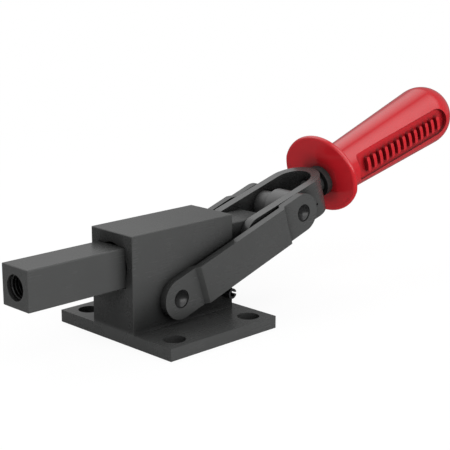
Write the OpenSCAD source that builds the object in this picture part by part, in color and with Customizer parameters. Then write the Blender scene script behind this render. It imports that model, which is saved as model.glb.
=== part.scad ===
// Straight-line toggle clamp with a square plunger, a U-bent handle strap and two joggled links.
// Millimetres. Origin at the centre of the four bolt holes, on the underside of the base plate.
// +X is the way the plunger pushes, +Z is up. The clamp is drawn closed, just past dead centre.

/* [Base plate] */
// Length of the plate along the plunger
plate_l = 90; // [86:0.5:120]
// Width of the plate
plate_w = 106.5; // [98:0.5:130]
// Thickness of the plate
plate_t = 8; // [6:0.5:12]
// Distance between bolt holes along the plunger
bolt_pitch_x = 63.5; // [50:0.5:66]
// Distance between bolt holes across the plate
bolt_pitch_y = 82.5; // [76:0.5:86]
// Distance from the plate's front edge to the front bolt holes
bolt_edge = 13.5; // [10:0.5:18]
// Diameter of the bolt holes
bolt_hole_d = 14.3; // [9:0.1:16]

/* [Body block] */
// Length of the block along the plunger
block_l = 84.5; // [70:0.5:88]
// Width of the block
block_w = 39; // [37:0.5:46]
// Height of the block's top above the plate's underside
block_top = 70; // [68:0.5:80]
// Play between the plunger and each side of its square guide
guide_play = 0.2; // [0.1:0.05:0.4]
// Diameter of the round relief bore that was drilled before the square was broached
guide_bore_d = 28.6; // [27:0.1:30]
// Small chamfer along the block's and the plunger's outer edges
edge_break = 0.4; // [0.2:0.1:0.8]

/* [Plunger] */
// Width and height of the square bar
bar_w = 25.4; // [22:0.1:25.6]
// Corner radius of the bar
bar_corner_r = 1; // [0.6:0.1:4]
// Height of the bar's axis
bar_z = 49.2; // [48:0.1:51]
// How far the bar stands out of the block when the clamp is closed
bar_reach = 71; // [40:1:110]
// Length of bar behind the plunger pin
bar_tail = 12.5; // [11:0.5:14]
// Major diameter of the tapped hole in the front end
tap_d = 15.88; // [9:0.01:16]
// Included angle of the drill point at the hole's end
drill_point = 118; // [90:1:140]
// Depth of the tapped hole
tap_depth = 38; // [20:1:60]

/* [Pivots] */
// Diameter of the pivot pins
pin_d = 12; // [10:0.1:12.4]
// Wall of the plain bushes
bush_wall = 1.6; // [1.2:0.1:2]
// Distance from the block's front face back to the body pivot
body_pivot_back = 34.9; // [30:0.5:40]
// Height of the body pivot
body_pivot_z = 25; // [24:0.1:26]
// Distance from the block's front face back to the plunger pin
plunger_pin_back = 111; // [108:0.5:116]
// Height of the plunger pin above the bar's axis
plunger_pin_rise = 1.8; // [0:0.1:2.5]
// Distance from the plunger pin to the toggle pin
toggle_l = 37.9; // [36:0.1:40]
// Slope of the handle when the clamp is closed, in degrees
handle_tilt = 15.9; // [13:0.1:17]
// Length of the bushes in the body
body_bush_l = 14; // [8:0.5:17]
// How far the pin ends lie below the faces of the links
pin_inset = 0.6; // [0.2:0.1:1.2]
// Depth of the riveting dish in the pin ends
dish_depth = 2.4; // [0.6:0.1:3]
// Width of the flat rim round the riveting dish
dish_rim = 0.6; // [0.4:0.1:2]

/* [Links] */
// Thickness of the link plate
link_t = 5; // [4:0.1:6]
// Height of the link plate
link_h = 26.5; // [24:0.1:28]
// Sideways step of the link's middle stretch
joggle = 2.7; // [1:0.1:4]
// Distance from a pin to the nearest bend line
joggle_at = 16.5; // [14:0.1:24]
// Length of each sloping stretch
joggle_run = 2.6; // [1.5:0.1:6]

/* [Handle strap] */
// Thickness of the strap
strap_t = 6.3; // [5:0.1:6.4]
// Height of the strap
strap_h = 26; // [24:0.1:28]
// Distance from the plunger pin to the back of the U bend
strap_reach = 76.8; // [70:0.1:90]
// Diameter of the punch marks on the strap's sides
mark_d = 1.7; // [1:0.1:3]
// Distance from the toggle pin back to the punch marks
mark_back = 19.6; // [15:0.1:20]
// How far the punch marks lie below the strap's centre line
mark_drop = 3.5; // [0:0.1:8]

/* [Spacers on the toggle pin] */
// Diameter of the wide spacer
wide_spacer_d = 26; // [22:0.1:26.5]
// Diameter of the narrow spacer
narrow_spacer_d = 19.6; // [16:0.1:24]

/* [Stop pin] */
// Outer diameter of the slotted roll pin
stop_d = 6.8; // [5:0.1:8]
// Wall of the roll pin
stop_wall = 1.3; // [0.8:0.1:1.6]
// Width of the slot in the roll pin
stop_slot = 1.4; // [0.8:0.1:2]
// Length of the roll pin
stop_l = 49; // [44:0.5:52]
// Distance from the block's rear face to the roll pin
stop_edge = 4.7; // [4.5:0.1:9]
// Space between the roll pin and the links' lower edges
stop_gap = 3.2; // [1:0.1:4]

/* [Handle stud] */
// Diameter of the stud's neck
neck_d = 15; // [14:0.1:18]
// Length of the neck between strap and collar
neck_l = 3.2; // [2:0.1:12]
// Diameter of the spigot through the strap
spigot_d = 12; // [8:0.1:13]
// How far the spigot's riveted end stands inside the bend
peen_l = 1.2; // [0.5:0.1:3]
// Diameter of the collar
collar_d = 22; // [20:0.1:26]
// Thickness of the collar
collar_t = 4.7; // [3:0.1:8]
// Diameter of the tang inside the grip
tang_d = 12.7; // [9:0.1:13]
// Length of the tang
tang_l = 105; // [60:1:120]
// Space left behind the tang in the grip's bore
tang_space = 2; // [0.5:0.5:5]

/* [Grip] */
// Length of the grip with its guard
grip_l = 144.3; // [138:0.1:180]
// Diameter of the grip's cone where it meets the guard
grip_front_d = 33; // [29:0.1:36]
// Diameter of the grip's round end
grip_end_d = 45.6; // [42:0.1:48]
// Width of the hand guard
guard_w = 64.6; // [60:0.1:72]
// Height of the hand guard
guard_h = 57.6; // [54:0.1:59]
// Radius of the guard's upper and lower arcs
guard_arc_r = 34.5; // [33:0.1:60]
// Thickness of the guard
guard_t = 4; // [3:0.1:6]
// How far the guard's centre lies above the grip's axis
guard_rise = 4.3; // [0:0.1:6]
// Radius of the fillet between guard and grip
guard_fillet = 6; // [3:0.1:9]
// Distance from the guard's front to the recessed side panel
panel_from = 25; // [20:0.5:30]
// Length of the side panel
panel_l = 100; // [60:1:104]
// Height of the side panel
panel_h = 20.3; // [15:0.1:22]
// How far the panel's centre line lies above the grip's axis
panel_rise = 0.8; // [0:0.1:1.5]
// Corner radius at the panel's front end
panel_corner_r = 3.5; // [1:0.1:6]
// Depth of the panel's floor below the grip's flank
panel_depth = 3.6; // [3:0.1:4.4]
// Thickness of the raised bars in the panel
rib_t = 3; // [2:0.1:4]
// Height of the raised bars
rib_h = 11; // [8:0.1:13]
// Number of raised bars
rib_count = 13; // [4:1:14]

/* [Clearances] */
// Radial clearance of a running pin
run_gap = 0.05; // [0.02:0.01:0.1]
// Radial clearance of a pressed or riveted fit
seat_gap = 0.01; // [0.005:0.005:0.02]
// Side clearance between neighbouring plates that slide past each other
side_gap = 0.3; // [0.2:0.05:0.5]

/* [Hidden] */
$fn = 96;
over = 1;

front_x = bolt_pitch_x / 2 + bolt_edge;
pin_r = pin_d / 2;
bush_r = pin_r + bush_wall;

// Pivot places in the closed clamp
body_pivot_x = front_x - body_pivot_back;
plunger_pin_x = front_x - plunger_pin_back;
plunger_pin_z = bar_z + plunger_pin_rise;
toggle_pin_x = plunger_pin_x - toggle_l * cos(handle_tilt);
toggle_pin_z = plunger_pin_z + toggle_l * sin(handle_tilt);
link_l = norm([toggle_pin_x - body_pivot_x, toggle_pin_z - body_pivot_z]);
link_tilt = atan2(toggle_pin_z - body_pivot_z, body_pivot_x - toggle_pin_x);

// Side-to-side stack, from the plunger out to the links
arm_in = bar_w / 2 + side_gap;
arm_out = arm_in + strap_t;
link_in = max(block_w / 2, arm_out) + side_gap;
link_out = link_in + link_t;
pin_end = link_out - pin_inset;

// Strap and grip stations along the handle, from the plunger pin
bend_at = strap_reach - arm_out;
collar_at = strap_reach + neck_l;
grip_at = collar_at + collar_t;

// The cone of the grip is tangent to its round end
grip_end_r = grip_end_d / 2;
end_centre = grip_l - grip_end_r;
cone_slope = asin(grip_end_r / norm([grip_front_d / 2, end_centre])) - atan2(grip_front_d / 2, end_centre);
// The guard's fillet is sunk this far into its back face
fillet_sink = 0.15;

// Shape that follows stands in the handle's frame: +X towards the grip, origin at the plunger pin
module on_handle() {
    translate([plunger_pin_x, 0, plunger_pin_z])
        rotate([0, -handle_tilt, 180])
            children();
}

// Shape that follows stands in the links' frame: +X towards the toggle pin, origin at the body pivot
module on_links() {
    translate([body_pivot_x, 0, body_pivot_z])
        rotate([0, -link_tilt, 180])
            children();
}

// Round bar across the clamp, from y = a to y = b
module cross_bar(r, a, b) {
    translate([0, a, 0])
        rotate([-90, 0, 0])
            cylinder(r = r, h = b - a);
}

// Side profile in X and Z made w wide across the clamp, centred
module across(w) {
    translate([0, w / 2, 0])
        rotate([90, 0, 0])
            linear_extrude(w)
                children();
}

// Plain ring across the clamp
module cross_ring(r_out, r_in, a, b) {
    difference() {
        cross_bar(r_out, a, b);
        cross_bar(r_in, a - over, b + over);
    }
}

// Ball that leaves a riveting dish in the pin end at y, on the side the sign gives
module dish(y, side) {
    rim_r = pin_r - dish_rim;
    ball_r = (rim_r * rim_r + dish_depth * dish_depth) / (2 * dish_depth);
    translate([0, y + side * (ball_r - dish_depth), 0])
        sphere(r = ball_r);
}

// Rectangle with its four corners cut at 45 degrees
module cut_rectangle(w, h, c) {
    polygon([[c, 0], [w - c, 0], [w, c], [w, h - c], [w - c, h], [c, h], [0, h - c], [0, c]]);
}

// Square with true round corners, centred
module round_square(w, r) {
    square([w - 2 * r, w], center = true);
    square([w, w - 2 * r], center = true);
    for (x = [-1, 1], y = [-1, 1])
        translate([x * (w / 2 - r), y * (w / 2 - r)])
            circle(r = r);
}

// Block with every outer edge but its foot broken by a small chamfer
module block() {
    rear_x = front_x - block_l;
    intersection() {
        translate([rear_x, -block_w / 2, 0])
            linear_extrude(block_top)
                cut_rectangle(block_l, block_w, edge_break);
        translate([rear_x, 0, -edge_break])
            across(block_w)
                cut_rectangle(block_l, block_top + edge_break, edge_break);
        translate([rear_x, 0, -edge_break])
            rotate([90, 0, 90])
                linear_extrude(block_l)
                    translate([-block_w / 2, 0])
                        cut_rectangle(block_w, block_top + edge_break, edge_break);
    }
}

module guide_hole() {
    guide_w = bar_w + 2 * guide_play;
    translate([front_x - block_l - over, 0, bar_z])
        rotate([90, 0, 90])
            linear_extrude(block_l + 2 * over) {
                square(guide_w, center = true);
                circle(d = guide_bore_d);
            }
}

module flanged_body() {
    color("#4b4b4d")
        difference() {
            union() {
                block();
                translate([front_x - plate_l, -plate_w / 2, 0])
                    cube([plate_l, plate_w, plate_t]);
            }
            guide_hole();
            for (x = [-1, 1], y = [-1, 1])
                translate([x * bolt_pitch_x / 2, y * bolt_pitch_y / 2, -over])
                    cylinder(d = bolt_hole_d, h = plate_t + 2 * over);
            translate([body_pivot_x, 0, body_pivot_z])
                cross_bar(bush_r + seat_gap, -block_w / 2 - over, block_w / 2 + over);
            stop_place()
                cross_bar(stop_d / 2 + seat_gap, -block_w / 2 - over, block_w / 2 + over);
        }
}

// Bush in the body's cross bore, flush with one side of the block
module body_bush(side) {
    from = side * block_w / 2;
    to = side * (block_w / 2 - body_bush_l);
    color("#6a5a3c")
        translate([body_pivot_x, 0, body_pivot_z])
            cross_ring(bush_r, pin_r + run_gap, min(from, to), max(from, to));
}

module body_bush_left() {
    body_bush(1);
}

module body_bush_right() {
    body_bush(-1);
}

// The stop pin lies under the links, clear of their lower edges by the stop gap
module stop_place() {
    x = front_x - block_l + stop_edge;
    edge_z = body_pivot_z + (body_pivot_x - x) * tan(link_tilt) - link_h / 2 / cos(link_tilt);
    translate([x, 0, edge_z - (stop_gap + stop_d / 2) / cos(link_tilt)])
        children();
}

module stop_pin() {
    color("#39393b")
        stop_place()
            difference() {
                cross_ring(stop_d / 2, stop_d / 2 - stop_wall, -stop_l / 2, stop_l / 2);
                translate([-stop_d, -stop_l / 2 - over, -stop_slot / 2])
                    cube([stop_d, stop_l + 2 * over, stop_slot]);
            }
}

module plunger() {
    rear_x = plunger_pin_x - bar_tail;
    tip_x = front_x + bar_reach;
    bar_l = tip_x - rear_x;
    color("#525254")
        difference() {
            intersection() {
                translate([rear_x, 0, bar_z])
                    rotate([90, 0, 90])
                        linear_extrude(bar_l)
                            round_square(bar_w, bar_corner_r);
                translate([rear_x, 0, bar_z - bar_w / 2])
                    across(bar_w)
                        cut_rectangle(bar_l, bar_w, edge_break);
                translate([rear_x, -bar_w / 2, bar_z - bar_w / 2])
                    linear_extrude(bar_w)
                        cut_rectangle(bar_l, bar_w, edge_break);
            }
            translate([tip_x, 0, bar_z])
                rotate([0, -90, 0])
                    tapped_hole();
            translate([plunger_pin_x, 0, plunger_pin_z])
                cross_bar(bush_r + seat_gap, -bar_w, bar_w);
        }
}

// Blind hole with a drill point, its mouth at z = 0
module tapped_hole() {
    r = tap_d / 2;
    point = r * tan(90 - drill_point / 2);
    translate([0, 0, -over])
        cylinder(r = r, h = tap_depth + over);
    translate([0, 0, tap_depth])
        cylinder(r1 = r, r2 = 0, h = point);
}

module plunger_bush() {
    color("#6a5a3c")
        translate([plunger_pin_x, 0, plunger_pin_z])
            cross_ring(bush_r, pin_r + run_gap, -bar_w / 2, bar_w / 2);
}

// Outline of a flat bar with round ends about two pins
module bar_outline(l, h) {
    circle(d = h);
    translate([0, -h / 2])
        square([l, h]);
    translate([l, 0])
        circle(d = h);
}

// Link seen from above: end stretches against the block, middle stretch stepped out
module joggled_strip() {
    h = link_h / 2 + over;
    a = joggle_at;
    b = joggle_at + joggle_run;
    edge = [[-h, 0], [a, 0], [b, joggle], [link_l - b, joggle], [link_l - a, 0], [link_l + h, 0]];
    inner = [for (q = edge) [q.x, q.y + link_in]];
    outer = [for (i = [len(edge) - 1:-1:0]) [edge[i].x, edge[i].y + link_out]];
    polygon(concat(inner, outer));
}

// Joggled link on the +Y side of the links' own frame
module link() {
    difference() {
        intersection() {
            across(2 * (link_out + joggle + over))
                bar_outline(link_l, link_h);
            translate([0, 0, -link_h])
                linear_extrude(2 * link_h)
                    joggled_strip();
        }
        for (x = [0, link_l])
            translate([x, 0, 0])
                cross_bar(pin_r + seat_gap, link_in - over, link_out + over);
    }
}

module link_left() {
    color("#48484a")
        on_links()
            mirror([0, 1, 0])
                link();
}

module link_right() {
    color("#48484a")
        on_links()
            link();
}

module body_pivot_pin() {
    color("#5a5a5c")
        translate([body_pivot_x, 0, body_pivot_z])
            difference() {
                cross_bar(pin_r, -pin_end, pin_end);
                dish(pin_end, 1);
                dish(-pin_end, -1);
            }
}

// Riveted end of the toggle pin in one link, cut off where the linkage is opened
module toggle_pin_end(side) {
    from = side * (arm_out + side_gap);
    to = side * pin_end;
    color("#5a5a5c")
        translate([toggle_pin_x, 0, toggle_pin_z])
            difference() {
                cross_bar(pin_r, min(from, to), max(from, to));
                dish(to, side);
            }
}

module toggle_pin_end_left() {
    toggle_pin_end(1);
}

module toggle_pin_end_right() {
    toggle_pin_end(-1);
}

// U of flat bar seen from above: two arms and a half-round bend
module strap_plan() {
    start = -strap_h;
    difference() {
        union() {
            translate([start, -arm_out])
                square([bend_at - start, 2 * arm_out]);
            translate([bend_at, 0])
                circle(r = arm_out);
        }
        translate([start - over, -arm_in])
            square([bend_at - start + over, 2 * arm_in]);
        translate([bend_at, 0])
            circle(r = arm_in);
    }
}

module fork_strap() {
    color("#505052")
        on_handle()
            difference() {
                intersection() {
                    translate([0, 0, -strap_h / 2])
                        linear_extrude(strap_h)
                            strap_plan();
                    across(2 * arm_out) {
                        circle(d = strap_h);
                        translate([0, -strap_h / 2])
                            square([strap_reach, strap_h]);
                    }
                }
                cross_bar(pin_r + seat_gap, -arm_out - over, arm_out + over);
                translate([toggle_l, 0, 0])
                    cross_bar(bush_r + seat_gap, -arm_out - over, arm_out + over);
                translate([bend_at, 0, 0])
                    rotate([0, 90, 0])
                        cylinder(r = spigot_d / 2 + seat_gap, h = arm_out + over);
                for (side = [-1, 1])
                    translate([toggle_l + mark_back, side * arm_out, -mark_drop])
                        cross_bar(mark_d / 2, -mark_d / 2, mark_d / 2);
            }
}

module arm_bush(side) {
    from = side * arm_in;
    to = side * arm_out;
    color("#6a5a3c")
        translate([toggle_pin_x, 0, toggle_pin_z])
            cross_ring(bush_r, pin_r + run_gap, min(from, to), max(from, to));
}

module arm_bush_left() {
    arm_bush(1);
}

module arm_bush_right() {
    arm_bush(-1);
}

module plunger_pin() {
    color("#5a5a5c")
        translate([plunger_pin_x, 0, plunger_pin_z])
            cross_bar(pin_r, -arm_out, arm_out);
}

module toggle_pin() {
    color("#5a5a5c")
        translate([toggle_pin_x, 0, toggle_pin_z])
            cross_bar(pin_r, -arm_out, arm_out);
}

module spacer_wide() {
    color("#6e6e70")
        translate([toggle_pin_x, 0, toggle_pin_z])
            cross_ring(wide_spacer_d / 2, pin_r + run_gap, 0, arm_in - side_gap / 2);
}

module spacer_narrow() {
    color("#6e6e70")
        translate([toggle_pin_x, 0, toggle_pin_z])
            cross_ring(narrow_spacer_d / 2, pin_r + run_gap, side_gap / 2 - arm_in, 0);
}

// Round bar along the handle, from station a to station b
module handle_bar(d, a, b) {
    translate([a, 0, 0])
        rotate([0, 90, 0])
            cylinder(d = d, h = b - a);
}

// Neck saddled on the strap's bend, with a spigot through the strap and a tang into the grip
module handle_stud() {
    color("#454547")
        on_handle() {
            difference() {
                handle_bar(neck_d, bend_at, collar_at);
                translate([bend_at, 0, -neck_d])
                    cylinder(r = arm_out, h = 2 * neck_d);
            }
            handle_bar(spigot_d, bend_at + arm_in - peen_l, collar_at);
            handle_bar(tang_d, collar_at - over, grip_at + tang_l);
        }
}

module stud_collar() {
    color("#7d7d7f")
        on_handle()
            difference() {
                handle_bar(collar_d, collar_at, grip_at);
                handle_bar(tang_d + 2 * seat_gap, collar_at - over, grip_at + over);
            }
}

// Half section turned about the grip's axis: cone, round end, and the fillet that meets the guard
module grip_body() {
    inside = guard_t / 2;
    fillet_at = guard_t + guard_fillet - fillet_sink;
    fillet_r = grip_front_d / 2 + fillet_at * tan(cone_slope) + guard_fillet;
    rotate([0, 90, 0])
        rotate_extrude() {
            polygon([[0, inside], [grip_front_d / 2 + inside * tan(cone_slope), inside],
                [grip_end_r * cos(cone_slope), end_centre - grip_end_r * sin(cone_slope)],
                [0, end_centre]]);
            intersection() {
                translate([0, end_centre])
                    circle(r = grip_end_r);
                translate([0, end_centre - grip_end_r])
                    square(2 * grip_end_r);
            }
            difference() {
                translate([0, inside])
                    square([fillet_r, fillet_at - inside]);
                translate([fillet_r, fillet_at])
                    circle(r = guard_fillet);
            }
        }
}

// Half section of a disc with a full round rim, r out to the rim
module rim_section(r) {
    square([r - guard_t / 2, guard_t]);
    translate([r - guard_t / 2, guard_t / 2])
        circle(d = guard_t);
}

// Oval guard: a round disc, flattened above and below by the wider arcs of two larger ones
module guard() {
    arc_at = guard_arc_r - guard_h / 2;
    rotate([0, 90, 0])
        intersection() {
            rotate_extrude()
                rim_section(guard_w / 2);
            translate([arc_at, 0, 0])
                rotate_extrude()
                    rim_section(guard_arc_r);
            translate([-arc_at, 0, 0])
                rotate_extrude()
                    rim_section(guard_arc_r);
        }
}

// Side panel seen square on: small corners at the guard's end, a full round at the other
module panel_outline() {
    h = panel_h / 2;
    c = panel_corner_r;
    translate([0, c - h])
        square([panel_l - h, panel_h - 2 * c]);
    translate([c, -h])
        square([panel_l - h - c, panel_h]);
    for (y = [-1, 1])
        translate([c, y * (h - c)])
            circle(r = c);
    translate([panel_l - h, 0])
        circle(r = h);
}

// Evenly spaced upright bars that stand in the panel
module rib_row() {
    margin = panel_h / 2;
    pitch = (panel_l - 2 * margin) / (rib_count - 1);
    for (i = [0:rib_count - 1])
        translate([margin + i * pitch, 0])
            bar_upright();
}

module bar_upright() {
    straight = rib_h - rib_t;
    square([rib_t, straight], center = true);
    for (y = [-1, 1])
        translate([0, y * straight / 2])
            circle(d = rib_t);
}

// Cutter for one side panel, its floor parallel to the grip's flank
module panel_cutter() {
    flank = grip_front_d / 2 / cos(cone_slope);
    rotate([0, 0, cone_slope])
        translate([panel_from, flank - panel_depth, 0])
            rotate([-90, 0, 0])
                linear_extrude(2 * panel_depth)
                    difference() {
                        translate([0, -panel_rise])
                            panel_outline();
                        rib_row();
                    }
}

module grip() {
    color("#b01c28")
        on_handle()
            translate([grip_at, 0, 0])
                difference() {
                    union() {
                        grip_body();
                        translate([0, 0, guard_rise])
                            guard();
                    }
                    panel_cutter();
                    mirror([0, 1, 0])
                        panel_cutter();
                    handle_bar(tang_d + 2 * seat_gap, -over, tang_l + tang_space);
                }
}

flanged_body();
body_bush_left();
body_bush_right();
stop_pin();
plunger();
plunger_bush();
link_left();
link_right();
body_pivot_pin();
toggle_pin_end_left();
toggle_pin_end_right();
fork_strap();
arm_bush_left();
arm_bush_right();
plunger_pin();
toggle_pin();
spacer_wide();
spacer_narrow();
handle_stud();
stud_collar();
grip();
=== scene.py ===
import math

import bpy
from mathutils import Matrix, Vector


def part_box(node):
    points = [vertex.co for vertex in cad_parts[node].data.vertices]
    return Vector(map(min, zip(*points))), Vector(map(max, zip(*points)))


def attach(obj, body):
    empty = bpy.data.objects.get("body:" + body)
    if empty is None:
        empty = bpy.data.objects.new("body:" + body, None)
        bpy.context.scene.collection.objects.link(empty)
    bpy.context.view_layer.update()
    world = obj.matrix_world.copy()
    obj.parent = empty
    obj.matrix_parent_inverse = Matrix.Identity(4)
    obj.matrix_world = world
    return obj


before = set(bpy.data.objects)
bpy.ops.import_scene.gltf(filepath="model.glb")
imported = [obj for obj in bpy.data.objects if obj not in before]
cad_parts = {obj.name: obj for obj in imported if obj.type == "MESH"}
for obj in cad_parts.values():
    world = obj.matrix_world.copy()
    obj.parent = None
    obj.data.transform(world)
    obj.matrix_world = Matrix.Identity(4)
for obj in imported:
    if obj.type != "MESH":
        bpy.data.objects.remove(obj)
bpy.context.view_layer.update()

# Flanged body: one steel forging, milled flat on its top and sides and ground on its foot, then
# blackened in a hot oxide bath and oiled. Everything else on the clamp is carried by it.


class Wire:
    """An output socket of a material's node tree. A sum, product or power of it is a Math node."""

    def __init__(self, tree, socket=None):
        self.tree = tree
        self.socket = socket

    def node(self, kind, settings=None, values=None, out=0):
        """Adds any shader node: its settings first, then the values or wires of its sockets."""
        made = self.tree.nodes.new("ShaderNode" + kind)
        for name, setting in (settings or {}).items():
            setattr(made, name, setting)
        for name, value in (values or {}).items():
            if isinstance(value, Wire):
                self.tree.links.new(value.socket, made.inputs[name])
            else:
                made.inputs[name].default_value = value
        return Wire(self.tree, made.outputs[out]) if made.outputs else None

    def maths(self, operation, a, b):
        """One Math node, with a wire or a number on each of its two sockets."""
        return self.node("Math", {"operation": operation}, {0: a, 1: b})

    def __add__(self, other):
        return self.maths("ADD", self, other)

    def __radd__(self, other):
        return self.maths("ADD", other, self)

    def __sub__(self, other):
        return self.maths("SUBTRACT", self, other)

    def __rsub__(self, other):
        return self.maths("SUBTRACT", other, self)

    def __mul__(self, other):
        return self.maths("MULTIPLY", self, other)

    def __rmul__(self, other):
        return self.maths("MULTIPLY", other, self)

    def __pow__(self, other):
        return self.maths("POWER", self, other)

    def __rpow__(self, other):
        return self.maths("POWER", other, self)


def new_material(name):
    """An empty node material, and a wire in its tree."""
    material = bpy.data.materials.new(name)
    material.use_nodes = True
    material.node_tree.nodes.clear()
    return material, Wire(material.node_tree)


def place_on(wire, centre=(0, 0, 0), scale=(1, 1, 1)):
    """The point on the piece, measured from a centre and scaled along each axis."""
    point = wire.node("TexCoord", out=3)
    moved = wire.node("VectorMath", {"operation": "SUBTRACT"}, {0: point, 1: centre})
    return wire.node("Mapping", None, {0: moved, "Scale": scale})


def noise(wire, at, scale, detail=2, roughness=0.5):
    """Smooth noise from 0 to 1, with scale cells to the metre."""
    values = {"Vector": at, "Scale": scale, "Detail": detail, "Roughness": roughness}
    return wire.node("TexNoise", {"noise_dimensions": "3D"}, values)


def blend_colours(wire, factor, low, high):
    """A colour between low and high."""
    colours = {0: factor, 6: (*low, 1), 7: (*high, 1)}
    return wire.node("Mix", {"data_type": "RGBA"}, colours, out=2)


# Painted shade from nearby pieces: how strong it is, and how it fades out at the plate's top.
plate_top = 0.008
plate_fade = 0.0025
contact_shade_depth = 2


def paint_corner_shade(wire, colour, shade_colour, reach, depth, near):
    """Paints shade into the colour by ambient occlusion: darker towards the shade colour where the
    piece closes in on itself within the reach, and where another piece is nearer than near. The
    floor, which only the plate is near to, doesn't count."""
    itself = {"samples": 4, "only_local": True}
    own = wire.node("AmbientOcclusion", itself, {"Distance": reach}, out=1)
    other = wire.node("AmbientOcclusion", {"samples": 4}, {"Distance": near}, out=1)
    height = wire.node("SeparateXYZ", None, {0: wire.node("TexCoord", out=3)}, out=2)
    over_plate = height * (1 / plate_fade) - plate_top / plate_fade
    above_plate = wire.node("Clamp", None, {"Value": over_plate})
    unshaded = own**depth * other ** (contact_shade_depth * above_plate)
    return wire.node("Mix", {"data_type": "RGBA"}, {0: unshaded, 6: (*shade_colour, 1), 7: colour}, out=2)


def end_in_shader(wire, colour, roughness, height, depth, metallic=0.0, specular=0.5):
    """Closes a material: a bump of the given depth in metres, the shader and the output."""
    bump = wire.node("Bump", None, {"Height": height, "Distance": depth, "Strength": 1.0})
    values = {
        "Base Color": colour,
        "Roughness": roughness,
        "Metallic": metallic,
        "Specular IOR Level": specular,
        "Normal": bump,
    }
    shader = wire.node("BsdfPrincipled", None, values)
    wire.node("OutputMaterial", None, {"Surface": shader})


black_oxide = (0.055, 0.056, 0.0555)
# Near black: the colour of the painted shade in corners and next to other pieces.
painted_shade_black = (0.001, 0.001, 0.001)
oxide_depth = 0.00003


def blackened_steel(
    name, shade, grain_at, lay, sheen=0.27, specular=0.2, reach=0.04, depth=0.8, near=0.014
):
    """Oiled black oxide over a machined face: soft clouds, a fine grain with grain_at cells to the
    metre, tool marks with lay cells to the metre along X, Y and Z, and painted shade in its
    corners."""
    material, wire = new_material(name)
    at = place_on(wire)
    clouds = noise(wire, at, scale=38, detail=3)
    grain = noise(wire, at, scale=grain_at)
    marks = noise(wire, place_on(wire, scale=lay), scale=1, detail=3, roughness=0.6)
    dark = tuple(0.88 * c for c in shade)
    light = tuple(1.12 * c for c in shade)
    colour = blend_colours(wire, 0.8 * clouds + 0.2 * marks, dark, light)
    # Painted shade: the colour darkens towards near black in the piece's own corners and next to
    # other pieces.
    colour = paint_corner_shade(wire, colour, painted_shade_black, reach, depth, near)
    roughness = sheen + 0.1 * (clouds - 0.5) + 0.05 * (marks - 0.5)
    height = 0.75 * grain + 0.25 * marks
    end_in_shader(wire, colour, roughness, height, oxide_depth, metallic=0.05, specular=specular)
    return material


def dress(material, slot, *names):
    """Puts a material on CAD pieces. The slot argument is not used."""
    for name in names:
        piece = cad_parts[name]
        piece.data.materials.clear()
        piece.data.materials.append(material)


# The body carries strong painted shade in its corners and next to the links and plunger.
body_black = blackened_steel(
    "blackened_forging", black_oxide, grain_at=2100, lay=(60, 900, 900), depth=1.4, near=0.035
)
dress(body_black, "body_steel", "flanged_body")

# Bushes: plain sleeves of sintered bronze, pressed into the body, the plunger and the strap's arms.
# They carry the pins, and oil has darkened them.

dark_bronze = (0.17, 0.1, 0.04)
light_bronze = (0.42, 0.27, 0.12)
pore_depth = 0.00004


def oiled_bronze(name):
    """Porous sintered bronze: a speckle of open pores under a film of oil."""
    material, wire = new_material(name)
    at = place_on(wire)
    pores = noise(wire, at, scale=2600, detail=1)
    film = noise(wire, at, scale=160)
    colour = blend_colours(wire, 0.6 * pores + 0.4 * film, dark_bronze, light_bronze)
    end_in_shader(wire, colour, 0.3 + 0.2 * film, pores, pore_depth, metallic=0.9)
    return material


bushes = ("body_bush_left", "body_bush_right", "plunger_bush", "arm_bush_left", "arm_bush_right")
dress(oiled_bronze("sintered_bronze"), "bush_bronze", *bushes)

# Stop pin: a slotted spring pin, rolled from blued strip and driven through the body's rear end.
# The links' lower edges come to rest above its ends.

spring_blue = blackened_steel(
    "blued_spring_strip", (0.035, 0.035, 0.037), grain_at=2600, lay=(300, 60, 300), sheen=0.3
)
dress(spring_blue, "pin_steel", "stop_pin")

# Plunger: a length of cold drawn square bar, its corners rounded by the die. Its front end is
# drilled and tapped for the bolt that does the pressing, and the thread is modelled here.

bar_black = blackened_steel(
    "blackened_drawn_bar",
    (0.056, 0.057, 0.0565),
    grain_at=2400,
    lay=(18, 1300, 1300),
    sheen=0.26,
)
dress(bar_black, "bar_steel", "plunger")

thread_pitch = 0.0254 / 11
thread_major_r = 0.01588 / 2
thread_minor_r = 0.0068
thread_from = 0.0022
thread_length = 0.034
ridge_share = 0.46
steps_a_turn = 48
bar_low, bar_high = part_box("plunger")
bar_front = bar_high.x
bar_axis_z = (bar_low.z + bar_high.z) / 2


class Tree:
    """A geometry node tree that is built node by node."""

    def __init__(self, name):
        self.tree = bpy.data.node_groups.new(name, "GeometryNodeTree")
        self.tree.is_modifier = True

    def input(self, name, kind, default=None):
        """Declares a named input of the tree and returns its identifier."""
        sort = "NodeSocket" + kind
        socket = self.tree.interface.new_socket(name, in_out="INPUT", socket_type=sort)
        if default is not None:
            socket.default_value = default
        return socket.identifier

    def inputs(self):
        """The sockets that bring the tree's inputs in, by name."""
        made = self.tree.nodes.new("NodeGroupInput")
        return {s.name: s for s in made.outputs if s.name}

    def node(self, kind, settings=None, values=None, out=0):
        """Adds any geometry node and returns one of its output sockets."""
        made = self.tree.nodes.new(kind)
        for name, setting in (settings or {}).items():
            setattr(made, name, setting)
        for name, value in (values or {}).items():
            if isinstance(value, bpy.types.NodeSocket):
                self.tree.links.new(value, made.inputs[name])
            else:
                made.inputs[name].default_value = value
        return made.outputs[out]

    def finish(self, geometry, material):
        """Ends the tree in Realize Instances and Set Material."""
        sort = "NodeSocketGeometry"
        self.tree.interface.new_socket("Geometry", in_out="OUTPUT", socket_type=sort)
        real = self.node("GeometryNodeRealizeInstances", None, {"Geometry": geometry})
        finish = {"Geometry": real, "Material": material}
        dressed = self.node("GeometryNodeSetMaterial", None, finish)
        end = self.tree.nodes.new("NodeGroupOutput")
        self.tree.links.new(dressed, end.inputs[0])


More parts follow.
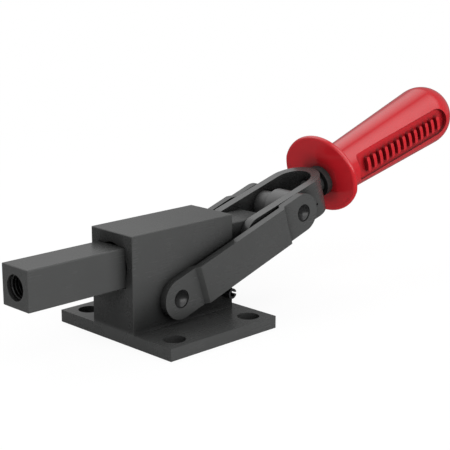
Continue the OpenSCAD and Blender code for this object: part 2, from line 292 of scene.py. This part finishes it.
def grow(name, tree, values):
    """Runs a node tree on an empty mesh and returns the result as a plain mesh object."""
    piece = bpy.data.objects.new(name, bpy.data.meshes.new(name))
    bpy.context.scene.collection.objects.link(piece)
    modifier = piece.modifiers.new("grow", "NODES")
    modifier.node_group = tree.tree
    for identifier, value in values.items():
        modifier[identifier] = value
    graph = bpy.context.evaluated_depsgraph_get()
    mesh = bpy.data.meshes.new_from_object(piece.evaluated_get(graph))
    piece.modifiers.remove(modifier)
    piece.data = mesh
    return piece


def thread_tree(material):
    """A helical ridge inside the hole that opens along +X: a triangle carried along a spiral. Its
    foot is on the major radius, two ridge shares of the pitch wide, its crest on the minor one."""
    tree = Tree("inner_thread")
    names = {
        "Pitch": tree.input("Pitch", "Float", thread_pitch),
        "Major radius": tree.input("Major radius", "Float", thread_major_r),
        "Minor radius": tree.input("Minor radius", "Float", thread_minor_r),
        "Length": tree.input("Length", "Float", thread_length),
    }
    given = tree.inputs()
    maths = "ShaderNodeMath"
    turns = tree.node(maths, {"operation": "DIVIDE"}, {0: given["Length"], 1: given["Pitch"]})
    spiral = tree.node(
        "GeometryNodeCurveSpiral",
        None,
        {
            "Resolution": steps_a_turn,
            "Rotations": turns,
            "Start Radius": given["Major radius"],
            "End Radius": given["Major radius"],
            "Height": given["Length"],
        },
    )
    upright = tree.node("GeometryNodeSetCurveNormal", {"mode": "Z_UP"}, {"Curve": spiral})
    half = tree.node(maths, {"operation": "MULTIPLY"}, {0: given["Pitch"], 1: ridge_share})
    back = tree.node(maths, {"operation": "MULTIPLY"}, {0: half, 1: -1.0})
    radii = {0: given["Major radius"], 1: given["Minor radius"]}
    crest = tree.node(maths, {"operation": "SUBTRACT"}, radii)
    corners = [
        tree.node("ShaderNodeCombineXYZ", None, {"Y": back}),
        tree.node("ShaderNodeCombineXYZ", None, {"X": crest}),
        tree.node("ShaderNodeCombineXYZ", None, {"Y": half}),
    ]
    section = tree.node("GeometryNodeCurvePrimitiveQuadrilateral", {"mode": "POINTS"})
    quad = section.node
    for corner, socket in zip((*corners, corners[2]), ("Point 1", "Point 2", "Point 3", "Point 4")):
        tree.tree.links.new(corner, quad.inputs[socket])
    ridge = tree.node(
        "GeometryNodeCurveToMesh",
        None,
        {"Curve": upright, "Profile Curve": section, "Fill Caps": True},
    )
    turned = tree.node(
        "GeometryNodeTransform",
        None,
        {
            "Geometry": ridge,
            "Translation": (bar_front - thread_from - thread_length, 0, bar_axis_z),
            "Rotation": (0, math.pi / 2, 0),
        },
    )
    tree.finish(turned, material)
    return tree, names


tree, names = thread_tree(bar_black)
thread_sizes = {
    names["Pitch"]: thread_pitch,
    names["Major radius"]: thread_major_r,
    names["Minor radius"]: thread_minor_r,
    names["Length"]: thread_length,
}
thread = grow("plunger_thread", tree, thread_sizes)
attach(thread, "plunger")

# Links: two flat bars, cropped to length with round ends and joggled in a press so that their
# middle stretch stands clear of the body. Riveted pins hold them at both ends.

link_black = blackened_steel(
    "blackened_link_plate", black_oxide, grain_at=1900, lay=(140, 900, 500)
)
dress(link_black, "plate_steel", "link_left", "link_right")

# Pins: turned from bright bar and blackened, each running in bushes. Two are riveted over in the
# links, which leaves a smooth dish in each end, and the third joins the strap to the plunger.

# Strong painted shade darkens the dishes in the pin ends.
pin_black = blackened_steel(
    "blackened_pin",
    (0.02, 0.02, 0.0205),
    grain_at=2600,
    lay=(700, 700, 120),
    sheen=0.26,
    specular=0.45,
    reach=0.01,
    depth=3,
)
dress(pin_black, "pin_steel", "body_pivot_pin", "toggle_pin_end_left", "toggle_pin_end_right")
dress(pin_black, "pin_steel", "plunger_pin", "toggle_pin")

# Fork strap: one flat bar bent hot round a former into a U, so that its arms straddle the plunger.
# A punch mark on each arm is left from the bending fixture.

# Strong painted shade darkens the inside of the U.
strap_black = blackened_steel(
    "blackened_strap",
    (0.049, 0.05, 0.0495),
    grain_at=1900,
    lay=(160, 900, 420),
    specular=0.4,
    reach=0.06,
    depth=2.5,
)
dress(strap_black, "plate_steel", "fork_strap")

# Spacers: two rings parted off from round bar, which keep the arms apart on the toggle pin.
# Their turned faces are left paler than the plates.

spacer_grey = blackened_steel(
    "turned_spacer", (0.1, 0.1, 0.1), grain_at=2200, lay=(1500, 90, 1500), sheen=0.34
)
dress(spacer_grey, "turned_steel", "spacer_wide", "spacer_narrow")

# Handle stud and collar: a turned stud riveted through the strap's bend, with a shoulder ring that
# the grip's guard seats against.

stud_grey = blackened_steel(
    "turned_stud", (0.075, 0.075, 0.075), grain_at=2200, lay=(1500, 300, 1500), sheen=0.32
)
dress(stud_grey, "turned_steel", "handle_stud", "stud_collar")

# Grip: glossy red plastic, moulded in one with its hand guard and pressed onto the stud's tang.
# The recessed panel on each side has plain raised bars.

grip_red = (0.44, 0.012, 0.018)
peel_depth = 0.00002


def moulded_plastic(name, colour):
    """Glossy moulded plastic with a slight orange peel, the faintest clouding of its colour, and
    painted shade in its creases and recesses."""
    material, wire = new_material(name)
    at = place_on(wire)
    clouds = noise(wire, at, scale=45)
    peel = noise(wire, at, scale=420, detail=1)
    low, high, crease_shade = (tuple(share * c for c in colour) for share in (0.93, 1.06, 0.2))
    tone = blend_colours(wire, clouds, low, high)
    # Painted shade: darker in the creases, the recessed panels and next to the stud and strap.
    tone = paint_corner_shade(wire, tone, crease_shade, reach=0.005, depth=1.2, near=0.012)
    end_in_shader(wire, tone, 0.07 + 0.02 * clouds, peel, peel_depth, specular=0.7)
    return material


dress(moulded_plastic("red_moulding", grip_red), "grip_plastic", "grip")

# Floor: a wide sheet of matt white card. It shows to the camera as white with the clamp's soft
# shadow, and lights the clamp from below. The dark metal mirrors only a small part of its white.

floor_half = 12
floor_in_metal = 0.12
white_near, white_per_metre = 0.88, 0.16
clamp_middle = (-0.08, 0, 0)
card_greys = (0.92, 0.9, 0.03)


def ray_kinds(wire):
    """Three wires that are 1 for a camera ray, a mirrored one and one that comes through glass."""
    rays = wire.node("LightPath").socket.node.outputs
    kinds = ("Is Camera Ray", "Is Glossy Ray", "Is Transmission Ray")
    return [Wire(wire.tree, rays[kind]) for kind in kinds]


def white_card(name):
    """Card that the camera sees in its own shade near the clamp and as plain white far from it. It
    lights the clamp as a bright card, and is nearly black where the clamp mirrors it."""
    material, wire = new_material(name)
    camera_ray, glossy_ray, through_ray = ray_kinds(wire)
    shaded_card, lit_card, dim_card = (
        wire.node("BsdfDiffuse", None, {"Color": (grey, grey, grey, 1)}) for grey in card_greys
    )
    white = wire.node("Emission", None, {"Color": (1, 1, 1, 1), "Strength": 1.0})
    far = wire.node("VectorMath", {"operation": "LENGTH"}, {0: place_on(wire, clamp_middle)}, out=1)
    white_share = wire.node("Clamp", None, {"Value": white_near + white_per_metre * far})
    shown = wire.node("MixShader", None, {0: white_share, 1: shaded_card, 2: white})
    hidden = wire.node("MixShader", None, {0: glossy_ray, 1: lit_card, 2: dim_card})
    seen = camera_ray + through_ray + floor_in_metal * glossy_ray
    surface = wire.node("MixShader", None, {0: seen, 1: hidden, 2: shown})
    wire.node("OutputMaterial", None, {"Surface": surface})
    return material


floor_mesh = bpy.data.meshes.new("floor")
ends = ((-1, -1), (1, -1), (1, 1), (-1, 1))
corners = [(x * floor_half, y * floor_half, 0) for x, y in ends]
floor_mesh.from_pydata(corners, [], [(0, 1, 2, 3)])
floor = bpy.data.objects.new("floor", floor_mesh)
bpy.context.scene.collection.objects.link(floor)
floor.data.materials.append(white_card("white_card"))

# Light: two wide cloth panels that lean together over the clamp like a tent, one at its left side
# and one before its front. Each is aimed at the block and fades out towards its edges.

aim = Vector((-0.03, 0, 0.07))


def soft_panel(name, towards, distance, length, width, radiance):
    """A rectangular light that faces the clamp, its length along X, and fades towards its edges."""
    data = bpy.data.lights.new(name, "AREA")
    data.shape = "RECTANGLE"
    data.size = length
    data.size_y = width
    data.energy = radiance * math.pi * length * width
    data.use_nodes = True
    data.node_tree.nodes.clear()
    wire = Wire(data.node_tree)
    place = wire.node("TexCoord", out=2)
    along_it, across_it = (
        2 * wire.node("SeparateXYZ", None, {0: place}, out=axis) - 1 for axis in (0, 1)
    )
    fade = (1 - across_it * across_it) * (1 - along_it**4)
    glow = wire.node("Emission", None, {"Color": (1, 1, 1, 1), "Strength": fade})
    wire.node("OutputLight", None, {"Surface": glow})
    lamp = bpy.data.objects.new(name, data)
    bpy.context.scene.collection.objects.link(lamp)
    back = Vector(towards).normalized()
    across = back.cross(Vector((1, 0, 0))).normalized()
    along = across.cross(back)
    turn = Matrix((along, across, back)).transposed().to_4x4()
    lamp.matrix_world = Matrix.Translation(aim + back * distance) @ turn


left_lean = math.radians(34)
right_lean = math.radians(39)
to_the_left = (0, math.sin(left_lean), math.cos(left_lean))
to_the_right = (0, -math.sin(right_lean), math.cos(right_lean))
soft_panel("left_panel", to_the_left, distance=1.3, length=2.6, width=1.92, radiance=1.6)
soft_panel("right_panel", to_the_right, distance=1.3, length=2.6, width=1.9, radiance=1.35)
soft_panel("side_fill", (0.15, 0.97, 0.15), distance=1.6, length=2.4, width=1.5, radiance=3.0)
soft_panel("front_fill", (0.97, 0.2, 0.02), distance=1.6, length=1.2, width=1.0, radiance=1.4)

# Room: plain white to the camera. The dark metal mirrors a part of it, and its dim light fills in
# the shadows.

room_in_metal = 0.3
room_fill = 0.45

world = bpy.data.worlds.new("room")
bpy.context.scene.world = world
world.use_nodes = True
world.node_tree.nodes.clear()
room = Wire(world.node_tree)
camera_ray, glossy_ray, through_ray = ray_kinds(room)
seen = camera_ray + through_ray
strength = seen + room_in_metal * glossy_ray + room_fill * (1 - seen - glossy_ray)
sky = room.node("Background", None, {"Color": (1, 1, 1, 1), "Strength": strength})
room.node("OutputWorld", None, {"Surface": sky})

# Camera: a long lens at the photograph's own standpoint, to the front and left of the clamp and
# a little above it.

camera_at = Vector((0.486446, 0.547952, 0.245964))
camera_heading = math.radians(-134.476)
camera_pitch = math.radians(-13.802)
camera_lens = 95.178

camera_data = bpy.data.cameras.new("camera")
camera_data.lens = camera_lens
camera_data.sensor_width = 36
camera = bpy.data.objects.new("camera", camera_data)
camera.location = camera_at
camera.rotation_euler = (math.pi / 2 + camera_pitch, 0, camera_heading - math.pi / 2)
bpy.context.scene.collection.objects.link(camera)
bpy.context.scene.camera = camera
bpy.context.scene.view_settings.view_transform = "Standard"
